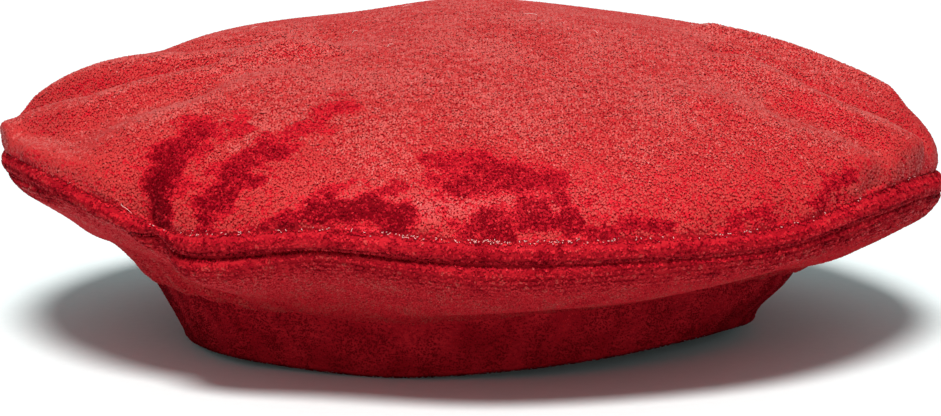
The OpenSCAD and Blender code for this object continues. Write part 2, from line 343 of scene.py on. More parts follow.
class Form:
    """The surfaces of the beret's cloth, as functions that place points on them. All in mm."""

    turn_under = 2.0

    def __init__(self):
        s = shape()
        turn = np.radians(np.linspace(0, 90, 361))
        r = RIM_R * np.sin(turn) ** (2 / s.crown_full)
        z = EDGE_Z + (TOP_Z - EDGE_Z) * np.cos(turn) ** s.crown_shoulder
        z[-1] = EDGE_Z
        # The round is turned under past its seam, so its line runs on below the edge.
        self.crown_line = np.concatenate([np.stack([r, z], 1), [[RIM_R - 0.5, EDGE_Z - self.turn_under]]])
        self.crown_s = along(self.crown_line)
        self.crown_out = self.crown_s[-2]  # where the edge seam lies on the flat round

        roll_r, roll = 3.1, np.array([RIM_R - 2.4, EDGE_Z - 3.1])
        a = np.radians(np.linspace(56, -54, 15))
        roll_line = roll + roll_r * np.stack([np.cos(a), np.sin(a)], 1)
        dip = np.array([[RIM_R - 2.9, EDGE_Z - 5.9], [RIM_R - 3.0, EDGE_Z - 6.5]])
        t = np.linspace(0, 1, 50)[:, None]
        run = sum(
            weight * np.array(point)
            for weight, point in (
                ((1 - t) ** 3, (RIM_R - 1.6, EDGE_Z - 7.6)),
                (3 * t * (1 - t) ** 2, (RIM_R - 1.6, EDGE_Z - 12.5)),
                (3 * t**2 * (1 - t), (RIM_R - 16, EDGE_Z - 19)),
                (t**3, (BAND_TOP_R, BAND_H)),
            )
        )
        self.under_line = np.concatenate([roll_line, dip, run])
        self.under_s = along(self.under_line)
        self.under_len = self.under_s[-1]
        self.roll_len = self.under_s[len(roll_line)]

        fold_r = 2.15
        low_r = BAND_TOP_R - s.band_taper
        slope = s.band_taper / BAND_H
        wall = np.array([[low_r + slope * z, z] for z in np.linspace(BAND_H + 2.2, fold_r, 13)])
        a = np.radians(np.linspace(-15, -165, 11))
        fold_mid = np.array([low_r + slope * fold_r - fold_r, fold_r])
        fold = fold_mid + fold_r * np.stack([np.cos(a), np.sin(a)], 1)
        turn_up = np.array([[low_r + slope * z - 2 * fold_r, z] for z in np.linspace(fold_r, 9, 6)])
        self.band_line = np.concatenate([wall, fold, turn_up])
        self.band_s = along(self.band_line)
        self.band_len = self.band_s[-1]
        self.wall_len = self.band_s[len(wall) - 1]
        self.band_slope = slope
        self.band_low_r = low_r
        self.seam_r = low_r + slope * RIBBON_TOP - s.ribbon_depth

    def settle_band(self, p):
        """The headband is a little oval and its edges rise and dip; the cloth near it follows."""
        s = shape()
        r = np.hypot(p[:, 0], p[:, 1])
        theta = np.arctan2(p[:, 1], p[:, 0])
        hold = 1 - smooth(BAND_TOP_R - 2, RIM_R - 6, r)
        c, n = math.cos(s.band_turn), math.sin(s.band_turn)
        u = p[:, 0] * c + p[:, 1] * n
        v = -p[:, 0] * n + p[:, 1] * c
        front = smooth(-12, -58, v)
        v = v * (1 - s.band_oval * hold * front) + 3 * hold * np.sin(np.pi * np.clip(-v / 110, 0, 1)) * front
        u = u * (1 + 0.014 * hold)
        q = p.copy()
        q[:, 0] = u * c - v * n
        q[:, 1] = u * n + v * c
        flare = 4.6 * np.exp(-(((np.degrees(theta) + 14) / 22) ** 2)) * smooth(3, 17, p[:, 2]) * hold
        q[:, 0] += flare * np.cos(theta)
        q[:, 1] += flare * np.sin(theta)
        low = round_the_edge(BAND_LOW_LIFT, theta, 5.0)
        top = round_the_edge(BAND_TOP_LIFT, theta, 4.0)
        up = np.clip(p[:, 2] / BAND_H, 0, 1)
        q[:, 2] += hold * (low + (top - low) * up)
        return q

    def inside(self, theta, r, z):
        """Places points inside the beret that follow its edge and its headband."""
        share = smooth(BAND_TOP_R, RIM_R, r)
        rise, out = self.edge_move(theta, share)
        p = np.stack([(r + out) * np.cos(theta), (r + out) * np.sin(theta), z + rise], 1)
        return self.settle_band(p)

    def edge_move(self, theta, share):
        """Rise and standing-out of the crown's edge, for points that follow it by share."""
        return round_the_edge(EDGE_RISE, theta, 3.0) * share, round_the_edge(EDGE_OUT, theta, 2.5) * share

    def folds(self, plan):
        """How far the crown's folds lift points of its plan."""
        return sum(h * np.exp(-((near_line(plan, line) / wide) ** 2)) for line, h, wide in FOLDS)

    def crown(self, flat, drop=0.0, inset=0.0):
        """Places points of the flat round on the crown, or on a smaller crown inside it."""
        rho = np.hypot(flat[:, 0], flat[:, 1])
        theta = np.arctan2(flat[:, 1], flat[:, 0])
        r = np.interp(rho, self.crown_s, self.crown_line[:, 0])
        z = np.interp(rho, self.crown_s, self.crown_line[:, 1])
        to_edge = self.crown_out - rho
        rise, out = self.edge_move(theta, 1 - smooth(0, 21, to_edge))
        plan = np.stack([r * np.cos(theta), r * np.sin(theta)], 1)
        z = EDGE_Z + (z - EDGE_Z) * (1 - drop / (TOP_Z - EDGE_Z))
        r = r * (1 - inset / RIM_R)
        lift = 0.7 * ripples(plan, 40, 3) + self.folds(plan)
        lift *= smooth(0, 16, to_edge)
        pucker = ripples(np.stack([theta * RIM_R / 9, rho / 60], 1), 1.0, 5)
        lift += 0.35 * pucker * np.exp(-((to_edge / 9) ** 2)) * smooth(0, 2, to_edge)
        pinch = np.exp(-(((np.degrees(theta) + 131) / 2.6) ** 2)) * np.exp(-((to_edge / 18) ** 2))
        lift -= 3.8 * pinch
        tilt = smooth(0, 1, r / RIM_R) ** 2
        up = np.sqrt(1 - 0.8 * tilt**2)
        way = np.stack([np.cos(theta) * 0.894 * tilt, np.sin(theta) * 0.894 * tilt, up], 1)
        p = np.stack([(r + out) * np.cos(theta), (r + out) * np.sin(theta), z + rise], 1)
        return p + lift[:, None] * way

    def under(self, ts):
        """Places points (angle, mm from the edge seam) on the underside."""
        theta, s = ts[:, 0], ts[:, 1]
        r = np.interp(s, self.under_s, self.under_line[:, 0])
        z = np.interp(s, self.under_s, self.under_line[:, 1])
        share = smooth(BAND_TOP_R, RIM_R, r)
        rise, out = self.edge_move(theta, share)
        deg = np.degrees(theta)
        bulge = 2.6 * np.exp(-(((deg + 16) / 28) ** 2))
        out = out + bulge * smooth(0, 5, s) * share
        from_band = self.under_len - s
        rise = rise - round_the_edge(UNDER_SAG, theta, 4.0) * smooth(4, 17, s) * smooth(0, 34, from_band)
        tuck = np.exp(-(((from_band - 12) / 9) ** 2)) * smooth(0, 7, from_band)
        rise = rise + round_the_edge(UNDER_TUCK, theta, 4.0) * tuck
        plan = np.stack([r * np.cos(theta), r * np.sin(theta)], 1)
        lift = 0.9 * ripples(plan, 30, 8) * smooth(4, 16, s) * smooth(0, 14, from_band)
        fill = 1 - round_the_edge(GROOVE, theta, 4.0)
        out = out + 2.5 * fill * np.exp(-(((s - self.roll_len - 0.6) / 1.9) ** 2))
        crease = np.exp(-(((deg + 129) / 2.2) ** 2)) * smooth(0, 6, s)
        lift -= 3.6 * crease * smooth(0, 12, from_band)
        gather = ripples(np.stack([theta * BAND_TOP_R / 7, s / 40], 1), 1.0, 9)
        lift += 0.3 * gather * np.exp(-((from_band / 10) ** 2))
        p = np.stack([(r + out) * np.cos(theta), (r + out) * np.sin(theta), z + rise], 1)
        p += lift[:, None] * np.stack([0.6 * np.cos(theta), 0.6 * np.sin(theta), np.full(len(s), -0.8)], 1)
        return self.settle_band(p)

    def wall(self, theta, z, depth):
        """Places points in the headband's wall, at a height and a depth from its outer face."""
        mid = np.sin(np.pi * np.clip(z / BAND_H, 0, 1))
        wave = ripples(np.stack([theta * BAND_TOP_R, z * 2], 1), 26, 11)
        join = np.exp(-(((np.degrees(theta) - 90) / 0.9) ** 2))
        r = self.band_low_r + self.band_slope * z - depth + 0.5 * wave * mid
        r = r - 0.8 * join * smooth(2.2, 0.6, depth)
        return self.settle_band(np.stack([r * np.cos(theta), r * np.sin(theta), z + 0 * r], 1))

    def band(self, ts):
        """Places points (angle, mm down from the headband's top) on the velvet of the headband."""
        r = np.interp(ts[:, 1], self.band_s, self.band_line[:, 0])
        z = np.interp(ts[:, 1], self.band_s, self.band_line[:, 1])
        return self.wall(ts[:, 0], z, self.band_low_r + self.band_slope * z - r)

    def crown_lining(self, flat):
        """Places points of the lining's flat round."""
        s = shape()
        return self.crown(flat, s.lining_gap, s.lining_in)

    def under_lining(self, ts):
        """Places points (angle, share of the way in) on the lining's underside."""
        s = shape()
        t = ts[:, 1]
        ends = (
            (RIM_R - s.lining_in, EDGE_Z - 0.5),
            (RIM_R - 22, EDGE_Z - 12),
            (self.seam_r + 0.4, RIBBON_TOP + 0.5),
        )
        r, z = ((1 - t) ** 2 * a + 2 * t * (1 - t) * b + t**2 * c for a, b, c in zip(*ends))
        slack = ripples(np.stack([ts[:, 0] * 14, t * 3], 1), 1.0, 61)
        z = z + 0.5 * slack * np.sin(np.pi * np.clip(t, 0, 1))
        return self.inside(ts[:, 0], r, z)


def normals(place, uv, step=(0.05, 0.05)):
    """The unit normals of a surface function at uv, from two small steps."""
    here = place(uv)
    a = place(uv + np.array([step[0], 0])) - here
    b = place(uv + np.array([0, step[1]])) - here
    return here, unit(np.cross(a, b))


# ---- meshes ---------------------------------------------------------------


def add_mesh(name, points, faces, materials, index=None, smooth_faces=True):
    """A mesh object from points in mm and faces of equal length, riding on the hat."""
    mesh = bpy.data.meshes.new(name)
    points = np.asarray(points, np.float32) * MM
    faces = np.asarray(faces, np.int32)
    sides = faces.shape[1]
    mesh.vertices.add(len(points))
    mesh.vertices.foreach_set("co", points.ravel())
    mesh.loops.add(faces.size)
    mesh.loops.foreach_set("vertex_index", faces.ravel())
    mesh.polygons.add(len(faces))
    mesh.polygons.foreach_set("loop_start", np.arange(0, faces.size, sides, dtype=np.int32))
    for material in materials:
        mesh.materials.append(material)
    if index is not None:
        mesh.polygons.foreach_set("material_index", np.asarray(index, np.int32))
    mesh.polygons.foreach_set("use_smooth", np.full(len(faces), smooth_faces))
    mesh.update(calc_edges=True)
    mesh.validate()
    piece = bpy.data.objects.new(name, mesh)
    bpy.context.scene.collection.objects.link(piece)
    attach(piece, HAT)
    return piece


def grid_faces(rows, columns, start=0):
    """Quads of a grid that is closed round its columns."""
    i, j = np.meshgrid(np.arange(rows - 1), np.arange(columns), indexing="ij")
    k = (j + 1) % columns
    a, b = start + i * columns + j, start + i * columns + k
    return np.stack([a, b, b + columns, a + columns], -1).reshape(-1, 4)


def shell(name, outer, inner, rows, columns, materials, flip=False):
    """A closed sheet between two grids of points that go round."""
    count = rows * columns
    front = grid_faces(rows, columns)
    rear = grid_faces(rows, columns, count)[:, ::-1]
    j = np.arange(columns)
    k = (j + 1) % columns
    first = np.stack([j + count, k + count, k, j], 1)
    end = (rows - 1) * columns
    last = np.stack([j + end, k + end, k + end + count, j + end + count], 1)
    faces = np.concatenate([front, rear, first, last])
    if flip:
        faces = faces[:, ::-1]
    return add_mesh(name, np.concatenate([outer, inner]), faces, materials)


def tubes(name, paths, radius, materials, sides=5):
    """Closed tubes of thread along paths, an array of (tube, point, xyz), with rounded ends."""
    count, steps, _ = paths.shape
    way = unit(np.gradient(paths, axis=1))
    side = unit(np.cross(way, np.array([0.31, 0.17, 0.93])))
    other = np.cross(way, side)
    a = np.arange(sides) * 2 * math.pi / sides
    thick = np.full(steps, radius)
    thick[[0, -1]] *= 0.6
    ring = side[:, :, None] * np.cos(a)[:, None] + other[:, :, None] * np.sin(a)[:, None]
    points = (paths[:, :, None] + ring * thick[:, None, None]).reshape(count, -1, 3)
    tips = np.stack([paths[:, 0] - way[:, 0] * radius * 0.6, paths[:, -1] + way[:, -1] * radius * 0.6], 1)
    points = np.concatenate([points, tips], 1)
    quads = grid_faces(steps, sides)
    faces = np.concatenate([quads[:, [0, 1, 2]], quads[:, [0, 2, 3]]])
    j = np.arange(sides)
    k = (j + 1) % sides
    end = (steps - 1) * sides
    first = np.stack([k, j, np.full(sides, steps * sides)], 1)
    last = np.stack([j + end, k + end, np.full(sides, steps * sides + 1)], 1)
    faces = np.concatenate([faces, first, last])
    faces = np.arange(count)[:, None, None] * points.shape[1] + faces
    return add_mesh(name, points.reshape(-1, 3), faces.reshape(-1, 3), materials)


def stitches(name, place, pitch, length, radius, materials, bow=0.25):
    """A row of stitches round a seam. place turns angles into points and outward directions."""
    around = np.linspace(-math.pi, math.pi, 721)
    line, _ = place(around)
    far = np.concatenate([[0], np.cumsum(np.linalg.norm(np.diff(line, axis=0), axis=1))])
    count = int(far[-1] / pitch)
    t = np.linspace(-0.5, 0.5, 6)
    at = (np.arange(count)[:, None] + 0.5) * far[-1] / count + t * length
    theta = np.interp(at.ravel(), far, around)
    p, out = place(theta)
    rise = bow * (1 - (2 * t) ** 2) - 0.6 * bow
    paths = p.reshape(count, 6, 3) + out.reshape(count, 6, 3) * rise[:, None]
    piece = tubes(name, paths, radius, materials)
    return piece


def ring_grid(rows, columns):
    """(angle, row value) pairs of a grid that goes round."""
    theta = np.linspace(-np.pi, np.pi, columns, endpoint=False)
    t, r = np.meshgrid(theta, rows)
    return np.stack([t.ravel(), r.ravel()], 1)


def patch(name, outer, inner, rows, columns, materials):
    """A closed sheet between two grids of points that have four edges."""
    i, j = np.meshgrid(np.arange(rows - 1), np.arange(columns - 1), indexing="ij")
    a = (i * columns + j).ravel()
    front = np.stack([a, a + 1, a + 1 + columns, a + columns], 1)
    rim = np.concatenate([
        np.arange(columns - 1), np.arange(rows - 1) * columns + columns - 1,
        np.arange(rows * columns - 1, (rows - 1) * columns, -1), np.arange(rows - 1, 0, -1) * columns,
    ])
    following = np.roll(rim, -1)
    count = rows * columns
    edge = np.stack([following, rim, rim + count, following + count], 1)
    faces = np.concatenate([front, front[:, ::-1] + count, edge])
    return add_mesh(name, np.concatenate([outer, inner]), faces, materials)


def layer(name, place, rows, columns, depth, thick, materials, polar=False, flip=False):
    """A closed sheet of cloth that follows a surface, set in by depth. polar is for the crown's round."""
    grid = ring_grid(rows, columns)
    if polar:
        flat = np.stack([grid[:, 1] * np.cos(grid[:, 0]), grid[:, 1] * np.sin(grid[:, 0])], 1)
        here, way = normals(place, flat)
    else:
        here, way = normals(place, grid, (0.0005, 0.05))
        way = way * (-1 if flip else 1)
    return shell(name, here - way * depth, here - way * (depth + thick), len(rows), columns, materials, flip)


# ---- materials ------------------------------------------------------------


def colour(hex_text):
    """A linear RGBA colour from an sRGB hex."""
    parts = [int(hex_text[i : i + 2], 16) / 255 for i in (0, 2, 4)]
    return [c / 12.92 if c <= 0.04045 else ((c + 0.055) / 1.055) ** 2.4 for c in parts] + [1.0]


def blank(name):
    """A new material and its tree, with only an output and a Principled BSDF."""
    material = bpy.data.materials.new(name)
    material.use_nodes = True
    tree = material.node_tree
    return material, tree, tree.nodes["Principled BSDF"]


def add(tree, kind, links=(), **settings):
    """Adds a node. links are (input, socket) pairs; other settings are inputs by name or the node's own."""
    node = tree.nodes.new(kind)
    for key, value in settings.items():
        if key in node.inputs:
            node.inputs[key].default_value = value
        else:
            setattr(node, key, value)
    for key, socket in links:
        tree.links.new(socket, node.inputs[key])
    return node


def set_surface(bsdf, **values):
    """Sets the shader's own sockets, by names with _ for spaces."""
    for key, value in values.items():
        bsdf.inputs[key.replace("_", " ")].default_value = value


def ramp(tree, fac, stops):
    """A colour ramp of (place, hex) stops."""
    node = add(tree, "ShaderNodeValToRGB", [("Fac", fac)])
    while len(node.color_ramp.elements) < len(stops):
        node.color_ramp.elements.new(0.5)
    for element, (place, hex_text) in zip(node.color_ramp.elements, stops):
        element.position = place
        element.color = colour(hex_text)
    return node


def bump(tree, bsdf, height, distance_mm, strength=1.0):
    node = add(tree, "ShaderNodeBump", [("Height", height)], Strength=strength, Distance=distance_mm * MM)
    tree.links.new(node.outputs["Normal"], bsdf.inputs["Normal"])
    return node


def mm_coordinates(tree):
    """Object coordinates in millimetres."""
    place = add(tree, "ShaderNodeTexCoord")
    return add(
        tree, "ShaderNodeVectorMath", [(0, place.outputs["Object"])], operation="SCALE", Scale=1 / MM
    ).outputs["Vector"]


def velvet_ground():
    """Viscose velvet, woven ground under the pile: dull red with a fine weave."""
    material, tree, bsdf = blank("viscose_velvet_ground_woven")
    place = mm_coordinates(tree)
    cloud = add(tree, "ShaderNodeTexNoise", [("Vector", place)], Scale=1 / 9, Detail=3)
    tone = ramp(tree, cloud.outputs["Fac"], [(0.3, "8E0A16"), (0.7, cloth().ground_red)])
    tree.links.new(tone.outputs["Color"], bsdf.inputs["Base Color"])
    weave = add(tree, "ShaderNodeTexVoronoi", [("Vector", place)], Scale=1 / 0.8)
    bump(tree, bsdf, weave.outputs["Distance"], 0.3, 0.8)
    set_surface(bsdf, Roughness=0.9, Specular_IOR_Level=0.03)
    return material


def pile_reds():
    """Viscose pile, cut and brushed: one finish in five reds that are painted light and shade, from the deep
    red of pile seen end on to the painted sheen of pile lit along its side.
    """
    found = []
    names = ("deep", "dark", "mid", "light", "painted_sheen")
    for name, rough, gloss in zip(names, (0.7, 0.65, 0.55, 0.5, 0.45), (0.03, 0.05, 0.1, 0.2, 0.3)):
        material, tree, bsdf = blank("viscose_pile_painted_light_" + name)
        tone = colour(getattr(cloth(), "red_" + name))
        set_surface(bsdf, Base_Color=tone, Roughness=rough, Specular_IOR_Level=gloss)
        found.append(material)
    return found


def satin_lining():
    """Polyester satin, woven with long floats: smooth, with a soft lengthwise shine."""
    material, tree, bsdf = blank("polyester_satin_woven")
    place = mm_coordinates(tree)
    float_rows = add(
        tree, "ShaderNodeTexWave", [("Vector", place)], wave_type="BANDS", bands_direction="DIAGONAL",
        Scale=1 / 2.2, Distortion=0.6, Detail=2,
    )
    cloud = add(tree, "ShaderNodeTexNoise", [("Vector", place)], Scale=1 / 25, Detail=2)
    tone = ramp(tree, cloud.outputs["Fac"], [(0.25, "560610"), (0.75, cloth().satin_red)])
    tree.links.new(tone.outputs["Color"], bsdf.inputs["Base Color"])
    bump(tree, bsdf, float_rows.outputs["Fac"], 0.08, 0.5)
    set_surface(bsdf, Roughness=0.34, Specular_IOR_Level=0.5, Anisotropic=0.4, Sheen_Weight=0.1)
    return material


def ribbon_cloth():
    """Cotton and viscose grosgrain, woven with cross ribs: low sheen on the ribs, dark between them."""
    material, tree, bsdf = blank("grosgrain_ribbon_woven")
    place = mm_coordinates(tree)
    thread = add(tree, "ShaderNodeTexNoise", [("Vector", place)], Scale=2.5, Detail=3)
    tone = ramp(tree, thread.outputs["Fac"], [(0.3, "4A060C"), (0.7, cloth().ribbon_red)])
    tree.links.new(tone.outputs["Color"], bsdf.inputs["Base Color"])
    bump(tree, bsdf, thread.outputs["Fac"], 0.1, 0.6)
    set_surface(bsdf, Roughness=0.6, Specular_IOR_Level=0.4, Sheen_Weight=0.15)
    return material


def plain_weave(name, tone, dark, pitch):
    """Cotton, plain woven: a grid of threads over and under."""
    material, tree, bsdf = blank(name)
    place = mm_coordinates(tree)
    rows = [
        add(tree, "ShaderNodeTexWave", [("Vector", place)], wave_type="BANDS", bands_direction=way,
            Scale=0.314 / pitch).outputs["Fac"]
        for way in ("X", "Y")
    ]
    both = add(tree, "ShaderNodeMath", [(0, rows[0]), (1, rows[1])], operation="MULTIPLY").outputs[0]
    shade = ramp(tree, both, [(0.0, dark), (0.6, tone)])
    tree.links.new(shade.outputs["Color"], bsdf.inputs["Base Color"])
    bump(tree, bsdf, both, 0.12, 0.7)
    set_surface(bsdf, Roughness=0.85, Specular_IOR_Level=0.3)
    return material


def sewing_thread(name, tone, rough=0.5):
    """Spun polyester sewing thread, twisted."""
    material, tree, bsdf = blank(name)
    set_surface(bsdf, Base_Color=colour(tone), Roughness=rough, Specular_IOR_Level=0.15)
    return material


def studio_floor():
    """Painted studio board, matt."""
    material, tree, bsdf = blank("studio_board_matt")
    place = mm_coordinates(tree)
    grain = add(tree, "ShaderNodeTexNoise", [("Vector", place)], Scale=1 / 3, Detail=4)
    tone = ramp(tree, grain.outputs["Fac"], [(0.3, "DDE3E2"), (0.7, cloth().floor)])
    tree.links.new(tone.outputs["Color"], bsdf.inputs["Base Color"])
    set_surface(bsdf, Roughness=0.9, Specular_IOR_Level=0.2)
    return material


MATERIALS = {}


def finish_named(name):
    """Each material is made once."""
    makers = {
        "ground": velvet_ground,
        "pile": pile_reds,
        "satin": satin_lining,
        "ribbon": ribbon_cloth,
        "canvas": lambda: plain_weave("cotton_canvas_woven", cloth().canvas, "A79E89", 0.9),
        "label": lambda: plain_weave("polyester_label_tape_woven", cloth().label_white, "C9C3B6", 0.5),
        "thread": lambda: sewing_thread("polyester_thread_spun", cloth().thread_red),
        "fibre": lambda: sewing_thread("stray_fibre_pale", "E8C9C0", 0.4),
        "glint": lambda: sewing_thread("ground_thread_painted_glint", cloth().painted_glint_tone, 0.3),
        "floor": studio_floor,
    }
    if name not in MATERIALS:
        MATERIALS[name] = makers[name]()
    return MATERIALS[name]


# ---- pile -----------------------------------------------------------------


def locks(name, root, way, up, length, width, tone, spin, cut=0.55):
    """Locks of pile from root along way, in pieces of a size that exports whole.

    Each is a slim closed form of four faces. A share of them, cut, opens to a broad cut end;
    the others run out to a point.
    """
    root_end, tip_end = root, root + way * length[:, None]
    broad = (np.arange(len(root)) * 0.618034) % 1 < cut
    for part, first in enumerate(range(0, len(root), LOCKS_PER_PIECE)):
        pick = slice(first, first + LOCKS_PER_PIECE)
        w, n, opens = way[pick], len(root[pick]), broad[pick]
        foot = np.where(opens[:, None], tip_end[pick], root_end[pick])
        point = np.where(opens[:, None], root_end[pick], tip_end[pick])
        wide = width[pick] * np.where(opens, 1.4, 1.0)
        side = unit(np.cross(w, np.array([0.31, 0.17, 0.93])))
        other = np.cross(w, side)
        points, face_way = np.empty((n, 4, 3)), np.empty((n, 4, 3))
        for k in range(3):
            a = spin[pick] + k * 2 * math.pi / 3
            ring = np.cos(a)[:, None] * side + np.sin(a)[:, None] * other
            points[:, k] = foot + ring * wide[:, None]
            face_way[:, k] = unit(0.9 * up[pick] + 0.24 * ring)
        points[:, 3] = point
        face_way[:, 3] = unit(up[pick] + 0.3 * w)
        corner = np.array([[0, 2, 1], [0, 1, 3], [1, 2, 3], [2, 0, 3]])
        corners = np.where(opens[:, None, None], corner[:, ::-1], corner)
        faces = (np.arange(n)[:, None, None] * 4 + corners).reshape(-1, 3)
        index = np.repeat(tone[pick], 4)
        piece = add_mesh(f"{name}_{part + 1}", points.reshape(-1, 3), faces, finish_named("pile"), index)
        # Soft pile takes the light as the cloth under it does, and not as hard facets.
        piece.data.normals_split_custom_set_from_vertices(face_way.reshape(-1, 3))


def tones(level, rng, spread=0.34):
    """Which of the five reds each lock takes, for levels of painted light from 0 (deep, painted shade) to 1
    (lit, painted sheen).
    """
    return np.clip(np.round(level * 4 + spread * rng.normal(0, 1, len(level))), 0, 4).astype(int)


def stroked_at(flat, form):
    """How strong the strokes across the crown's pile are at points of the flat round, from 0 to 1; this sets
    their lean and their painted shade.
    """
    ragged = 1.6 * ripples(flat, 4, 21) + 0.8 * ripples(flat, 1.6, 22)
    found = np.zeros(len(flat))
    for points, wide, depth in STROKES:
        deg, inwards = np.array(points, float).T
        out = form.crown_out - inwards
        line = np.stack([out * np.cos(np.radians(deg)), out * np.sin(np.radians(deg))], 1)
        d = np.abs(near_line(flat, line)) + ragged
        found = np.maximum(found, depth * (1 - smooth(0.45 * wide, 1.5 * wide, d)))
    return found


# ---- operators ------------------------------------------------------------


class BERET_OT_crown(bpy.types.Operator):
    """Velvet round of the crown, with its folds"""

    bl_idname = "beret.crown"
    bl_label = "Crown cloth"

    def execute(self, context):
        form = Form()
        edge = [form.crown_out + 1, form.crown_s[-1]]
        rows = np.concatenate([[HUB], np.linspace(1.5, form.crown_out, 110), edge])
        s = shape()
        ground = [finish_named("ground")]
        piece = layer("crown_cloth", form.crown, rows, 400, s.pile_room, s.velvet, ground, polar=True)
        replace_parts(piece, "crown_panel")
        return {"FINISHED"}


class BERET_OT_underside(bpy.types.Operator):
    """Velvet ring of the underside, with the rolled edge and its groove"""

    bl_idname = "beret.underside"
    bl_label = "Underside cloth"

    def execute(self, context):
        form = Form()
        run = np.linspace(form.roll_len, form.under_len, 44)[1:]
        rows = np.concatenate([np.linspace(0, form.roll_len, 18), run])
        s = shape()
        ground = [finish_named("ground")]
        piece = layer("underside_cloth", form.under, rows, 400, s.pile_room, s.velvet, ground, flip=True)
        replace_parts(piece, "under_panel")
        return {"FINISHED"}


class BERET_OT_headband(bpy.types.Operator):
    """Velvet strip of the headband, folded under at its lower edge"""

    bl_idname = "beret.headband"
    bl_label = "Headband cloth"

    def execute(self, context):
        form = Form()
        rows = np.linspace(0, form.band_len, 44)
        s = shape()
        ground = [finish_named("ground")]
        piece = layer("headband_cloth", form.band, rows, 720, s.pile_room, s.velvet, ground, flip=True)
        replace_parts(piece, "headband")
        return {"FINISHED"}


class BERET_OT_crown_pile(bpy.types.Operator):
    """Pile of the crown, tuft by tuft on the weave"""

    bl_idname = "beret.crown_pile"
    bl_label = "Crown pile"

    def execute(self, context):
        form, c, rng = Form(), cloth(), np.random.default_rng(31)
        reach = form.crown_out
        line = np.arange(-reach, reach, c.tuft_pitch)
        x, y = np.meshgrid(line, line)
        flat = np.stack([x.ravel(), y.ravel()], 1)
        flat = np.repeat(flat, c.tuft_locks, 0)
        flat += rng.normal(0, 0.27 * c.tuft_pitch, flat.shape)
        to_edge = reach - np.hypot(*flat.T)
        flat = flat[to_edge > 0.25]
        to_edge = reach - np.hypot(*flat.T)
        here, up = normals(form.crown, flat)
        stroked = stroked_at(flat, form)
        out = unit(np.stack([here[:, 0], here[:, 1], np.zeros(len(here))], 1))
        # The nap runs one way over the whole round, a little outwards, with slight swirls.
        swirl = ripples(flat, 24, 41)[:, None] * np.cross(up, out) * 0.25
        comb = unit(out * 0.4 + swirl + np.array([0.3, -0.5, 0]))
        comb = unit(comb - (comb * up).sum(1)[:, None] * up)
        lean = 0.45 + 0.1 * ripples(flat, 16, 43) + 0.4 * stroked
        loose = rng.normal(0, 0.32, here.shape)
        way = unit(up + comb * lean[:, None] + loose)
        way = np.where(((way * up).sum(1) < 0.25)[:, None], unit(way + up * 0.5), way)
        length = c.pile_length * rng.uniform(0.85, 1.1, len(here))
        length *= 1 - 0.25 * np.exp(-((to_edge / 1.5) ** 2))
        width = rng.uniform(0.22, 0.32, len(here))
        cloud = 0.025 * ripples(flat, 14, 45) + 0.04 * ripples(flat, 2.5, 46)
        # Painted light on the crown's pile: darker reds in the strokes as painted shade, lighter reds on
        # fold crests and darker in fold valleys as painted highlight and shade.
        level = 0.7 + cloud - 0.68 * stroked + 0.014 * form.folds(here[:, :2])
        # Painted sheen: lighter reds where the crown faces up and light grazes the pile; painted shade:
        # darker reds within a few mm of the edge seam.
        level += 0.2 * smooth(0.55, 0.98, up[:, 2]) - 0.12 * np.exp(-((to_edge / 1.6) ** 2))
        # The weave shows through as columns of small pits, where the locks are shorter and take darker reds
        # as painted shade, more so towards +X.
        pits = np.cos(2 * math.pi * (flat[:, 0] + 0.5 * ripples(flat, 30, 47)) / 2.3)
        pits = pits * np.cos(2 * math.pi * (flat[:, 1] + 0.5 * ripples(flat, 30, 48)) / 2.0)
        pits = smooth(0.35, 0.85, np.abs(pits)) * (0.35 + 0.65 * smooth(-20, 60, flat[:, 0]))
        level -= 0.2 * pits
        length *= 1 - 0.3 * pits
        # Towards the edge the locks clump and stand coarser.
        coarse = 1 - smooth(4, 22, to_edge)
        clump = ripples(flat, 1.7, 49)[:, None] * comb + ripples(flat, 1.7, 50)[:, None] * np.cross(up, comb)
        way = unit(way + 0.28 * coarse[:, None] * clump)
        length *= 1 + 0.2 * coarse
        width *= 1 + 0.2 * coarse
        order = np.argsort(np.arctan2(flat[:, 1], flat[:, 0]), kind="stable")
        root = here - (shape().pile_room + ROOTED) * up
        tone = tones(level, rng, 0.22 + 0.5 * stroked)
        pick = [a[order] for a in (root, way, up, length, width, tone)]
        locks("crown_pile", *pick, rng.uniform(0, 6.3, len(here)))
        return {"FINISHED"}


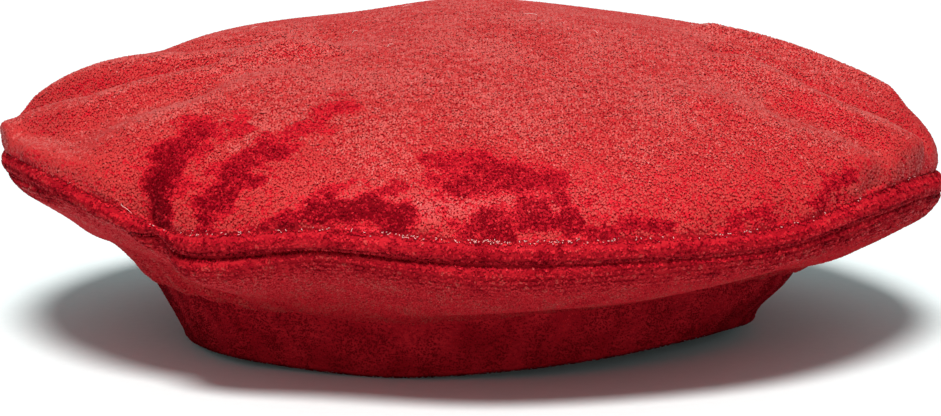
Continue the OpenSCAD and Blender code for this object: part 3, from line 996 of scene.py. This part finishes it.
class BERET_OT_underside_pile(bpy.types.Operator):
    """Pile of the underside: open rows at the rolled edge, closing towards the headband"""

    bl_idname = "beret.underside_pile"
    bl_label = "Underside pile"

    def execute(self, context):
        form, c, rng = Form(), cloth(), np.random.default_rng(33)
        row_pitch, tuft_pitch, fibres = 1.9, 1.7, 13
        spots, fans, shades = [], [], []
        for k, s in enumerate(np.arange(0.3, form.under_len, row_pitch)):
            r = np.interp(s, form.under_s, form.under_line[:, 0])
            count = int(2 * math.pi * r / tuft_pitch)
            place = np.arange(count) + 0.5 * (k % 2) + rng.normal(0, 0.16, count)
            theta = place * 2 * math.pi / count - math.pi
            at = s + rng.normal(0, 0.16, count)
            fan = rng.normal(0, 1, (count, fibres, 2))
            opening = smooth(12, 24, s)
            around = theta[:, None] + (0.36 + 0.3 * opening) * fan[:, :, 0] / r
            inwards = at[:, None] + (0.24 + 0.42 * opening) * fan[:, :, 1]
            spots.append(np.stack([around, inwards], 2).reshape(-1, 2))
            fans.append(fan.reshape(-1, 2))
            shades.append(np.repeat(rng.normal(0, 1, count), fibres))
        ts, fan, shade = np.concatenate(spots), np.concatenate(fans), np.concatenate(shades)
        kept = (ts[:, 1] > 0.1) & (ts[:, 1] < form.under_len - 0.2)
        ts, fan, shade = ts[kept], fan[kept], shade[kept]
        closing = smooth(12, 24, ts[:, 1])
        here, up = normals(form.under, ts, (0.0005, 0.05))
        up = -up
        round_way = np.stack([-np.sin(ts[:, 0]), np.cos(ts[:, 0]), np.zeros(len(ts))], 1)
        down = unit(np.cross(up, round_way))
        down *= np.where(down[:, 2] > 0, -1, 1)[:, None]
        flat = np.stack([ts[:, 0] * RIM_R, ts[:, 1]], 1)
        side = ripples(flat * np.array([1, 3]), 8, 51)
        comb = down * (0.25 - 0.1 * closing)[:, None]
        comb += round_way * (0.5 * side * (1 - closing) + 0.8 * closing)[:, None]
        splay = fan[:, :1] * round_way + fan[:, 1:] * down
        way = unit(up + comb + (0.32 - 0.14 * closing)[:, None] * splay + rng.normal(0, 0.16, here.shape))
        length = c.pile_length * rng.uniform(0.85, 1.1, len(here)) * (1.12 - 0.4 * closing)
        width = rng.uniform(0.22, 0.32, len(here))
        # Painted shade on the underside's pile: its reds are darker than the crown's, darker again over the
        # rolled edge and in the groove, and on locks splayed out between the open rows; shade here is a
        # random tone per tuft.
        level = 0.53 - 0.06 * (1 - smooth(5, 9, ts[:, 1])) + 0.05 * ripples(flat, 7, 52)
        level += (0.1 - 0.07 * closing) * shade + 0.02 * closing
        level -= 0.11 * (1 - closing) * np.hypot(*fan.T)
        deep = round_the_edge(GROOVE, ts[:, 0], 4.0)
        groove = np.abs(ts[:, 1] - form.roll_len - 0.6)
        level -= 0.5 * deep * np.exp(-((groove / 1.3) ** 2))
        length *= 1 - 0.55 * deep * np.exp(-((groove / 0.9) ** 2))
        root = here - (shape().pile_room + ROOTED) * up
        order = np.argsort(ts[:, 0], kind="stable")
        pick = [a[order] for a in (root, way, up, length, width, tones(level, rng, 0.3))]
        locks("underside_pile", *pick, rng.uniform(0, 6.3, len(here)))
        return {"FINISHED"}


class BERET_OT_headband_pile(bpy.types.Operator):
    """Short, close pile of the headband, brushed down"""

    bl_idname = "beret.headband_pile"
    bl_label = "Headband pile"

    def execute(self, context):
        form, c, rng = Form(), cloth(), np.random.default_rng(35)
        reach = form.wall_len + 6
        area = 2 * math.pi * BAND_TOP_R * reach
        count = int(area * 3.2)
        ts = np.stack([rng.uniform(-math.pi, math.pi, count), rng.uniform(1.6, reach, count)], 1)
        here, up = normals(form.band, ts, (0.0005, 0.05))
        up = -up
        comb = np.array([0, 0, -1.0]) * smooth(reach, form.wall_len - 6, ts[:, 1])[:, None]
        way = unit(up + comb * 0.9 + rng.normal(0, 0.22, here.shape))
        root = here - (shape().pile_room + ROOTED) * up
        floor_room = np.clip((root[:, 2] - 0.15) / np.maximum(-way[:, 2], 1e-3), 0.3, 9)
        length = 0.62 * c.pile_length * rng.uniform(0.8, 1.1, count)
        length = np.minimum(length, np.where(way[:, 2] < 0, floor_room, 9))
        width = rng.uniform(0.15, 0.22, count)
        # The headband's pile takes the deepest reds, painted shade for the crown's overhang above it.
        level = 0.1 + 0.1 * ripples(np.stack([ts[:, 0] * BAND_TOP_R, ts[:, 1] / 2], 1), 6, 53)
        locks("headband_pile", root, way, up, length, width, tones(level, rng), rng.uniform(0, 6.3, count))
        return {"FINISHED"}


class BERET_OT_interlinings(bpy.types.Operator):
    """Canvas under the crown and over the underside, the headband's stiffening and the seam allowances"""

    bl_idname = "beret.interlinings"
    bl_label = "Interlinings"

    def execute(self, context):
        form, s = Form(), shape()
        canvas = [finish_named("canvas")]
        near = s.pile_room + s.velvet + 0.1
        reach = form.crown_out - 15
        crown = layer(
            "crown_canvas", form.crown, np.concatenate([[HUB], np.linspace(2, reach, 70)]), 300,
            near, s.canvas, canvas, polar=True,
        )
        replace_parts(crown, "crown_interlining")
        rows = np.linspace(form.roll_len + 10, form.under_len - 3, 40)
        under = layer("underside_interlining", form.under, rows, 300, near, s.canvas, canvas, flip=True)
        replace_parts(under, "under_interlining")
        grid = ring_grid(np.linspace(BAND_H - 0.8, 2.6, 24), 300)
        inside = near + 0.5
        walls = [form.wall(*grid.T, inside + d) for d in (0, s.canvas)]
        band = shell("headband_stiffening", *walls, 24, 300, canvas, True)
        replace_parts(band, "headband_stiffener")
        grid = ring_grid(np.linspace(EDGE_Z + 1.2, EDGE_Z - 3.2, 6), 300)
        walls = [form.inside(grid[:, 0], np.full(len(grid), RIM_R - d), grid[:, 1]) for d in (3.4, 4.6)]
        welt = shell("rim_seam_allowances", *walls, 6, 300, [finish_named("ground")], True)
        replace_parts(welt, "rim_welt")
        return {"FINISHED"}


class BERET_OT_linings(bpy.types.Operator):
    """Satin lining of crown and underside"""

    bl_idname = "beret.linings"
    bl_label = "Linings"

    def execute(self, context):
        form, s = Form(), shape()
        satin = [finish_named("satin")]
        rows = np.concatenate([[HUB], np.linspace(2, form.crown_out - 0.5, 90)])
        crown = layer("crown_satin", form.crown_lining, rows, 360, 0, s.lining, satin, polar=True)
        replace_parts(crown, "crown_lining")
        grid = ring_grid(np.linspace(0, 1, 40), 360)
        outer = form.under_lining(grid)
        inner = outer + np.array([0, 0, s.lining])
        under = shell("underside_lining", outer, inner, 40, 360, satin, True)
        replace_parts(under, "under_lining")
        return {"FINISHED"}


class BERET_OT_sweatband(bpy.types.Operator):
    """Grosgrain ribbon with its cross ribs, and the lap of its ends"""

    bl_idname = "beret.sweatband"
    bl_label = "Sweatband"

    def execute(self, context):
        form, s = Form(), shape()
        ribbed = [finish_named("ribbon")]
        ribs, per_rib = 440, 5
        columns = ribs * per_rib
        grid = ring_grid(np.linspace(RIBBON_TOP, RIBBON_LOW, 9), columns)
        rib = RIB * np.cos(grid[:, 0] * ribs)
        back = form.wall(grid[:, 0], grid[:, 1], s.ribbon_depth)
        face = form.wall(grid[:, 0], grid[:, 1], s.ribbon_depth + s.ribbon - RIB + rib)
        ribbon = shell("sweatband_ribbon", back, face, 9, columns, ribbed, True)
        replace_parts(ribbon, "sweatband")
        theta = np.radians(np.linspace(85.5, 94.5, 56))
        z = np.linspace(RIBBON_TOP - 0.2, RIBBON_LOW + 0.2, 9)
        t, h = (a.ravel() for a in np.meshgrid(theta, z))
        ridge = RIB * np.cos(t * ribs)
        deep = s.ribbon_depth + s.ribbon + 0.04
        under, over = form.wall(t, h, deep), form.wall(t, h, deep + s.ribbon - RIB + ridge)
        lap = patch("sweatband_lap", under, over, 9, 56, ribbed)
        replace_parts(lap, "sweatband_overlap")
        return {"FINISHED"}


class BERET_OT_labels(bpy.types.Operator):
    """Blank woven label in the crown, and the finish of the care label and its thread"""

    bl_idname = "beret.labels"
    bl_label = "Labels"

    def execute(self, context):
        form, s = Form(), shape()
        x, y = (a.ravel() for a in np.meshgrid(np.linspace(-23, 23, 33), np.linspace(10, -10, 17)))
        back, up = normals(form.crown_lining, np.stack([x, y], 1))
        back = back - up * (s.lining + 0.1)
        label = patch("lining_label_blank", back, back - up * 0.4, 17, 33, [finish_named("label")])
        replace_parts(label, "lining_label")
        low, high = (np.array(corner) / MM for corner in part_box("care_label_thread"))
        hem = (low + high) / 2
        hem[0] = low[0] + (high[2] - low[2]) / 2
        reach = (high[1] - low[1]) / 2
        side = np.concatenate([[-1.12], np.linspace(-1, 1, 12), [1.12]]) * reach
        theta = np.arctan2(side, hem[0])
        ends = form.wall(theta, np.full(14, hem[2] - 0.8), s.ribbon_depth + s.ribbon)
        run = np.stack([np.full(14, hem[0]), side, np.full(14, hem[2])], 1)
        run[[0, -1]] = ends[[0, -1]]
        thread_r = (high[2] - low[2]) / 2
        thread = tubes("care_label_thread_run", run[None], thread_r, [finish_named("thread")], 6)
        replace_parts(thread, "care_label_thread")

        # The care label's hem goes round the thread, and the tape hangs from it against the ribbon.
        base, _ = (np.array(corner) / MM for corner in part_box("care_label"))
        loop_r, flap, tape = 0.75, 3.0, 0.3
        turn = np.radians(np.linspace(0, 180, 9))
        bend = hem[0] + loop_r * np.cos(turn), hem[2] + loop_r * np.sin(turn)
        hang = np.linspace(0, 1, 26)[1:]
        drop = hem[2] - base[2]
        hem_x = np.concatenate([np.full(4, bend[0][0]), bend[0], np.full(25, bend[0][-1])])
        hem_z = np.concatenate([hem[2] - flap * np.linspace(1, 0.15, 4), bend[1], hem[2] - drop * hang])
        near = np.concatenate([np.zeros(13), smooth(0, 0.45, hang)])
        y = np.linspace(base[1] + 0.4, -base[1] - 0.4, 41)
        theta = np.arctan2(y, base[0] + 3)
        deep = s.ribbon_depth + s.ribbon + 0.35
        sides = []
        for thick in (0, tape):
            way = np.gradient(hem_x), np.gradient(hem_z)
            size = np.hypot(*way)
            x = hem_x + thick * way[1] / size
            z = hem_z - thick * way[0] / size
            rest = np.stack([form.wall(theta, np.full(41, h), deep + thick) for h in hem_z])
            free = np.stack([np.stack([np.full(41, a), y, np.full(41, b)], 1) for a, b in zip(x, z)])
            sides.append((free + near[:, None, None] * (rest - free)).reshape(-1, 3))
        care = patch("care_label_tape", sides[0], sides[1], len(hem_x), 41, [finish_named("label")])
        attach(care, "care_label")
        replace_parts(care, "care_label")
        return {"FINISHED"}


class BERET_OT_stitches(bpy.types.Operator):
    """Every seam's stitches, the tacks, and the bare ground threads at the edge seam, drawn pale as a
    painted glint
    """

    bl_idname = "beret.stitches"
    bl_label = "Stitches"

    def execute(self, context):
        form, s, rng = Form(), shape(), np.random.default_rng(37)
        thread = [finish_named("thread")]
        out_way = lambda t: np.stack([np.cos(t), np.sin(t), 0 * t], 1)
        ring = lambda r, z: lambda t: (form.inside(t, np.full(len(t), r), np.full(len(t), z)), out_way(t))
        wall = lambda z, d: lambda t: (form.wall(t, np.full(len(t), z), d), -out_way(t))
        # Each row: its name, the node it stands for, its line, and the stitch's pitch, length and radius.
        edge_line = ring(RIM_R - s.pile_room - 0.3, EDGE_Z - 0.3)
        groove_line = ring(RIM_R - 3.9, EDGE_Z - 6.1)
        lining_line = ring(RIM_R - s.lining_in - 0.3, EDGE_Z - 0.1)
        band_line = ring(BAND_TOP_R - 2.4, BAND_H + 0.6)
        ribbon_line = wall(RIBBON_LOW + 1.6, s.ribbon_depth + s.ribbon + 0.1)
        ribbon_top_line = ring(form.seam_r - s.ribbon - 0.1, RIBBON_TOP - 0.6)
        rows = (
            ("edge_seam_stitches", "rim_seam_thread", edge_line, 2.6, 2.2, 0.2),
            ("groove_stitches", "welt_thread", groove_line, 3.0, 2.5, 0.2),
            ("lining_seam_stitches", "lining_rim_thread", lining_line, 2.6, 2.1, 0.2),
            ("headband_seam_stitches", "headband_seam_thread", band_line, 2.6, 2.1, 0.2),
            ("sweatband_stitches", "sweatband_thread", ribbon_line, 3.2, 2.4, 0.22),
            ("lining_lower_stitches", "lining_seam_thread", ribbon_top_line, 3.0, 2.3, 0.22),
        )
        for name, node, place, pitch, length, radius in rows:
            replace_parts(stitches(name, place, pitch, length, radius, thread), node)
        z = np.linspace(3, BAND_H - 2, 7)
        t = np.linspace(-0.5, 0.5, 6)
        high = (z[:, None] + t * 2.1).ravel()
        inner = form.wall(np.full(len(high), math.pi / 2), high, s.pile_room + s.velvet - 0.1)
        join = tubes("headband_join_stitches", inner.reshape(7, 6, 3), 0.2, thread)
        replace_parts(join, "headband_join_thread")
        paths = []
        for k in range(6):
            at = math.radians(60 * k + 30)
            r = np.linspace(RIM_R - s.lining_in + 0.1, RIM_R - 4.6, 10)
            for turn in (0, 2.1, 4.2):
                twist = turn + np.linspace(0, 4, 10)
                off = 0.22 * np.stack([np.cos(twist), np.sin(twist)], 1)
                theta = at + off[:, 0] / r
                paths.append(form.inside(theta, r, EDGE_Z + off[:, 1]))
        tacks = tubes("lining_tack_loops", np.array(paths), 0.17, thread)
        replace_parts(tacks, "lining_tacks")

        # Loops of bare ground thread, in a pale colour that is a painted glint.
        bare = []
        for at, wide, count in GLINTS:
            theta = np.radians(at + wide * rng.uniform(-1, 1, count))
            out, up = rng.normal(0.0, 0.3, count), rng.normal(-0.1, 0.35, count)
            base = form.inside(theta, RIM_R + out, EDGE_Z + up)
            size = rng.uniform(0.12, 0.3, count)
            turn = rng.uniform(0, math.pi, count)
            bend = np.linspace(0, math.pi, 6)
            along_seam = np.stack([-np.sin(theta), np.cos(theta), 0 * theta], 1)
            flat_way = along_seam * np.cos(turn)[:, None] + np.array([0, 0, 0.6]) * np.sin(turn)[:, None]
            flat_way = unit(flat_way)
            loops = base[:, None] + size[:, None, None] * (
                flat_way[:, None] * np.cos(bend)[:, None] + out_way(theta)[:, None] * np.sin(bend)[:, None]
            )
            bare.append(loops)
        glints = tubes("bare_ground_threads_painted_glint", np.concatenate(bare), 0.095, [finish_named("glint")], 4)
        return {"FINISHED"}


class BERET_OT_stray_fibres(bpy.types.Operator):
    """A few loose pale fibres on the pile"""

    bl_idname = "beret.stray_fibres"
    bl_label = "Stray fibres"

    def execute(self, context):
        form, rng = Form(), np.random.default_rng(39)
        paths = []
        for _ in range(26):
            start = rng.uniform(-120, 120, 2)
            way = rng.uniform(0, 2 * math.pi) + np.cumsum(rng.normal(0, 0.35, 12))
            step = rng.uniform(0.15, 0.4)
            flat = start + step * np.cumsum(np.stack([np.cos(way), np.sin(way)], 1), 0)
            here, up = normals(form.crown, flat)
            paths.append(here + up * (0.5 + 0.35 * np.sin(np.linspace(0, 3, 12)))[:, None])
        piece = tubes("stray_fibres", np.array(paths), 0.045, [finish_named("fibre")], 4)
        return {"FINISHED"}


class BERET_OT_stage(bpy.types.Operator):
    """Pale floor, soft studio light and the camera"""

    bl_idname = "beret.stage"
    bl_label = "Studio"

    def execute(self, context):
        scene = context.scene
        scene.view_settings.view_transform = "Standard"
        half = 6000
        points = [(-half, -half, 0), (half, -half, 0), (half, half, 0), (-half, half, 0)]
        mesh = bpy.data.meshes.new("studio_floor")
        mesh.from_pydata([Vector(p) * MM for p in points], [], [(0, 1, 2, 3)])
        mesh.materials.append(finish_named("floor"))
        floor = bpy.data.objects.new("studio_floor", mesh)
        scene.collection.objects.link(floor)

        sun = bpy.data.lights.new("key_light", "SUN")
        sun.energy = 4.5
        sun.angle = math.radians(17)
        key = bpy.data.objects.new("key_light", sun)
        key.rotation_euler = (math.radians(38), math.radians(-1.5), 0)
        scene.collection.objects.link(key)

        soft = bpy.data.lights.new("front_light", "AREA")
        soft.shape = "RECTANGLE"
        soft.size, soft.size_y, soft.energy = 1.8, 0.35, 7
        front = bpy.data.objects.new("front_light", soft)
        front.location = (0.0, -2.2, 0.3)
        front.visible_camera = False
        front.rotation_euler = (Vector((0, 0, 0.05)) - front.location).to_track_quat("-Z", "Y").to_euler()
        scene.collection.objects.link(front)

        world = bpy.data.worlds.new("studio_white")
        world.use_nodes = True
        background = world.node_tree.nodes["Background"]
        background.inputs["Color"].default_value = (0.78, 0.98, 1, 1)
        background.inputs["Strength"].default_value = 0.38
        scene.world = world

        lens = bpy.data.cameras.new("camera")
        lens.sensor_width = 36
        lens.lens = 151.7
        lens.clip_end = 50
        camera = bpy.data.objects.new("camera", lens)
        rise, away, aim = math.radians(9), 1.19, Vector((0, 0, 0.038))
        camera.location = aim + Vector((0, -math.cos(rise), math.sin(rise))) * away
        camera.rotation_euler = (math.radians(90) - rise, 0, 0)
        scene.collection.objects.link(camera)
        scene.camera = camera
        return {"FINISHED"}


class BERET_PT_panel(bpy.types.Panel):
    """Lists the beret's pieces and settings"""

    bl_label = "Velvet Beret"
    bl_idname = "BERET_PT_panel"
    bl_space_type = "VIEW_3D"
    bl_region_type = "UI"
    bl_category = "Beret"

    def draw(self, context):
        for operator in OPERATORS:
            self.layout.operator(operator.bl_idname)
        for group in (context.scene.beret_shape, context.scene.beret_cloth):
            for name in group.bl_rna.properties.keys():
                if name not in ("rna_type", "name"):
                    self.layout.prop(group, name)


OPERATORS = (
    BERET_OT_stage, BERET_OT_crown, BERET_OT_underside, BERET_OT_headband,
    BERET_OT_crown_pile, BERET_OT_underside_pile, BERET_OT_headband_pile, BERET_OT_interlinings,
    BERET_OT_linings, BERET_OT_sweatband, BERET_OT_labels, BERET_OT_stitches, BERET_OT_stray_fibres,
)
CLASSES = (BeretShape, BeretCloth, *OPERATORS, BERET_PT_panel)


def register():
    for item in CLASSES:
        bpy.utils.register_class(item)
    bpy.types.Scene.beret_shape = PointerProperty(type=BeretShape)
    bpy.types.Scene.beret_cloth = PointerProperty(type=BeretCloth)


def unregister():
    del bpy.types.Scene.beret_cloth
    del bpy.types.Scene.beret_shape
    for item in reversed(CLASSES):
        bpy.utils.unregister_class(item)


def main():
    register()
    for operator in OPERATORS:
        group, name = operator.bl_idname.split(".")
        if getattr(getattr(bpy.ops, group), name)() != {"FINISHED"}:
            raise RuntimeError(f"{operator.bl_idname} did not finish")


if __name__ == "__main__":
    main()
